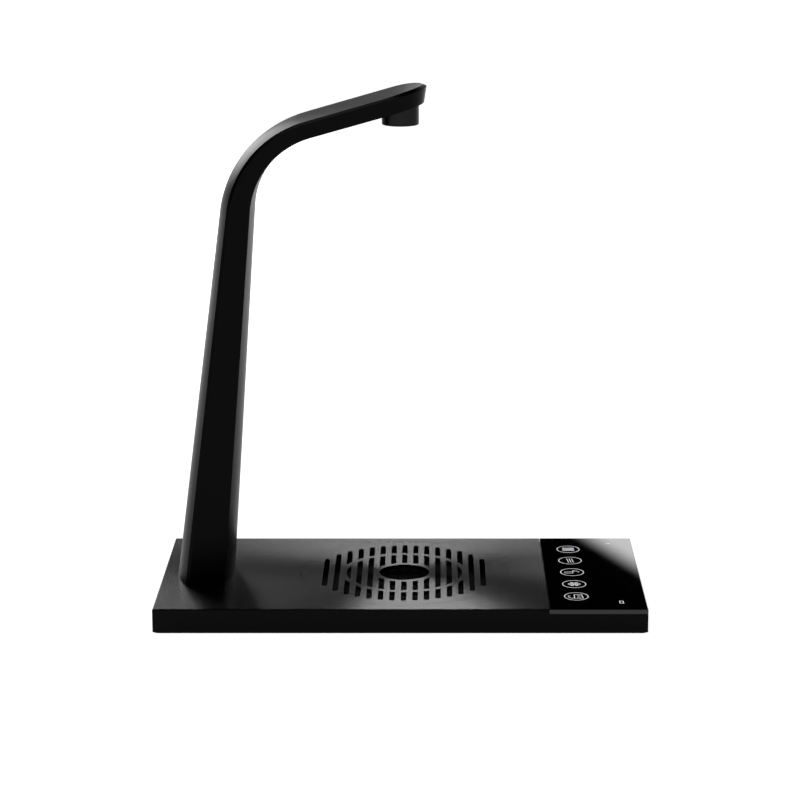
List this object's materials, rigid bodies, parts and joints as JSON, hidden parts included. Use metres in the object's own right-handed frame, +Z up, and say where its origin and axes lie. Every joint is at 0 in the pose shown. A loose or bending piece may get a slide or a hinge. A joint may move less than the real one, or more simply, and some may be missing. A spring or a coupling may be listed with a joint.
{
  "type": "boiling water tap",
  "caption": "Worktop tap for boiling, chilled and sparkling water: swan neck over a flush round drip grille, with a black glass touch panel at the front of its flat base.",
  "frame": {"origin": "centre of the base's underside, on the worktop", "axes": "+X to the touch panel's end, where the user stands; +Y across the base; +Z up"},
  "size_m": [0.35, 0.17, 0.3783],
  "materials": {
    "graphite_metal": "brushed graphite, satin lacquer",
    "black_glass": "back-printed black glass, polished",
    "black_plastic": "moulded, fine texture",
    "stainless": "turned stainless steel",
    "steel_plate": "zinc-plated steel sheet",
    "brass": "turned brass, as machined",
    "black_rubber": "moulded rubber",
    "silicone": "translucent silicone and polythene tube",
    "white_plastic": "opal light guide",
    "board": "solder-masked laminate",
    "chip": "moulded package",
    "led": "surface-mount lamp",
    "tape": "foam tape"
  },
  "bodies": {
    "base": {"base_shell": "graphite_metal", "base_cover": "steel_plate", "base_seal": "black_rubber", "cover_screws": "stainless", "mount_bushes": "brass", "drain_socket": "brass", "glass_panel": "black_glass", "panel_tape": "tape", "touch_board": "board", "key_diffusers": "white_plastic", "key_leds": "led", "board_chips": "chip", "board_connector": "white_plastic", "board_screws": "stainless", "cable_grommet": "black_rubber", "neck_shell": "graphite_metal", "arm_hatch": "graphite_metal", "hatch_screws": "stainless", "foot_gasket": "black_rubber", "clamp_plate": "steel_plate", "neck_screws": "stainless", "inlet_block": "brass", "inlet_screws": "stainless", "tube_spacers": "black_plastic", "nozzle_manifold": "brass", "hot_tube": "silicone", "chilled_tube": "silicone", "sparkling_tube": "silicone"},
    "bowl": {"drip_bowl": "black_plastic", "bowl_seal": "black_rubber", "locating_pin": "stainless"},
    "grille": {"drip_grille": "graphite_metal"},
    "strainer": {"drain_strainer": "black_plastic"},
    "insert": {"nozzle_insert": "black_plastic", "nozzle_washer": "black_rubber"},
    "sleeve": {"nozzle_sleeve": "graphite_metal"}
  },
  "joints": [
    {"name": "bowl_lift", "type": "slide", "parent": "base", "child": "bowl", "axis": [0, 0, 1], "range_m": [0, 0.06]},
    {"name": "grille_lift", "type": "slide", "parent": "bowl", "child": "grille", "axis": [0, 0, 1], "range_m": [0, 0.08]},
    {"name": "strainer_lift", "type": "slide", "parent": "bowl", "child": "strainer", "axis": [0, 0, 1], "range_m": [0, 0.04]},
    {"name": "nozzle_drop", "type": "slide", "parent": "base", "child": "insert", "axis": [0, 0, -1], "range_m": [0, 0.004]},
    {"name": "nozzle_unscrew", "type": "hinge", "parent": "insert", "child": "sleeve", "pos_m": [0, 0, 0.3498], "axis": [0, 0, -1], "range_deg": [0, 1440]}
  ],
  "couplings": [
    {"joint": "nozzle_unscrew", "follows": "nozzle_drop", "rad_per_m": 6283.2}
  ]
}
